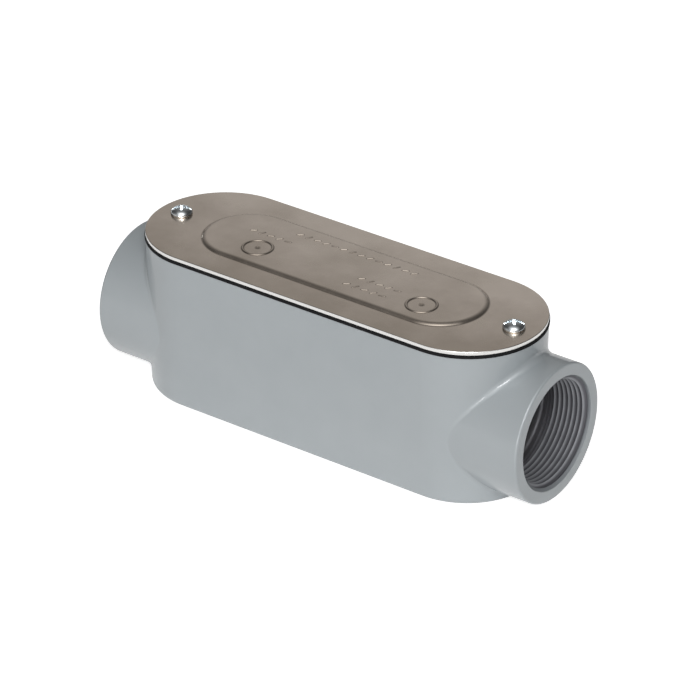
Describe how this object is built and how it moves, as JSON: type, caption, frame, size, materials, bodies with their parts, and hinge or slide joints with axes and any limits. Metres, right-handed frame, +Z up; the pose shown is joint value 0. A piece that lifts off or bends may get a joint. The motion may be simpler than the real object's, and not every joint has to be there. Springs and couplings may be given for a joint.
{
  "type": "conduit body",
  "caption": "Type C conduit body: long casing with rounded ends, a threaded hub at each end in line, and a gasketed sheet metal cover held by screws.",
  "frame": {"origin": "middle of the casing's flat bottom", "axes": "+X along the two hubs' common axis, +Z up from the bottom to the cover, +Y across the casing"},
  "size_m": [0.2098, 0.0654, 0.0739],
  "materials": {
    "casing_paint": "satin",
    "gasket_rubber": "matte",
    "cover_metal": "satin",
    "screw_zinc": "bright zinc plate"
  },
  "bodies": {
    "root": {"body": "casing_paint", "gasket": "gasket_rubber", "cover": "cover_metal", "cover_screw_left": "screw_zinc", "cover_screw_right": "screw_zinc"}
  },
  "joints": []
}
